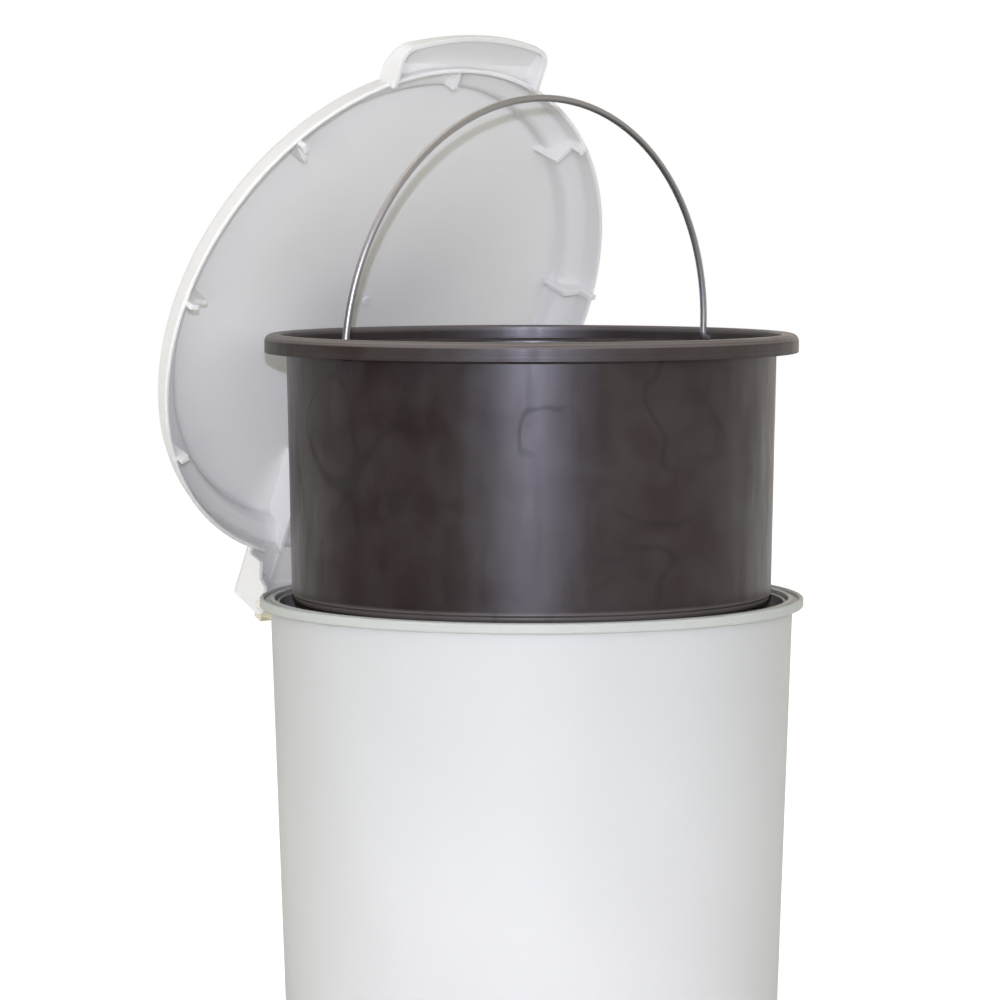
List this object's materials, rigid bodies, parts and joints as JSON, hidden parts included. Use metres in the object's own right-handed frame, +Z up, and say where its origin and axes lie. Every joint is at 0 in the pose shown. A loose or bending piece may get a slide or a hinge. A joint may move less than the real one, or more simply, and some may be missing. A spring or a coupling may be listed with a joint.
{
  "type": "litter disposal pail",
  "caption": "Tall tapered waste pail with a domed lid propped open on its hinge, a dark liner and a shallow lift-out bucket with a wire bail.",
  "frame": {"origin": "centre of the pail's flat underside, on the floor", "axes": "+Z up along the pail's axis; the hinge is at +Y and the lid's grip tab faces -Y when shut; +X is to the right seen from the front"},
  "size_m": [0.2742, 0.3073, 0.6578],
  "materials": {
    "pail": "smooth white polypropylene, soft gloss",
    "liner": "dark brown-grey polypropylene, satin",
    "bracket": "natural cream polypropylene, satin",
    "lid": "smooth white polypropylene, soft gloss, satin inside",
    "pins": "natural nylon, satin",
    "bucket": "dark brown-grey polypropylene, glossy with faint flow streaks",
    "wire": "bare drawn steel wire, dull grey"
  },
  "bodies": {
    "pail": {"pail_shell": "pail", "inner_liner": "liner", "hinge_bracket": "bracket"},
    "lid": {"lid": "lid", "hinge_pin_left": "pins", "hinge_pin_right": "pins"},
    "bucket": {"bucket": "bucket"},
    "bail": {"bail_wire": "wire"}
  },
  "joints": [
    {"name": "lid_hinge", "type": "hinge", "parent": "pail", "child": "lid", "pos_m": [0, 0.15175, 0.372], "axis": [-1, 0, 0], "range_deg": [0, 34.9]},
    {"name": "bucket_lift", "type": "slide", "parent": "pail", "child": "bucket", "axis": [0, 0, 1], "range_m": [-0.1202, 0]},
    {"name": "bail_swing", "type": "hinge", "parent": "bucket", "child": "bail", "pos_m": [0, 0, 0.508], "axis": [1, 0, 0], "range_deg": [-45, 85]}
  ]
}
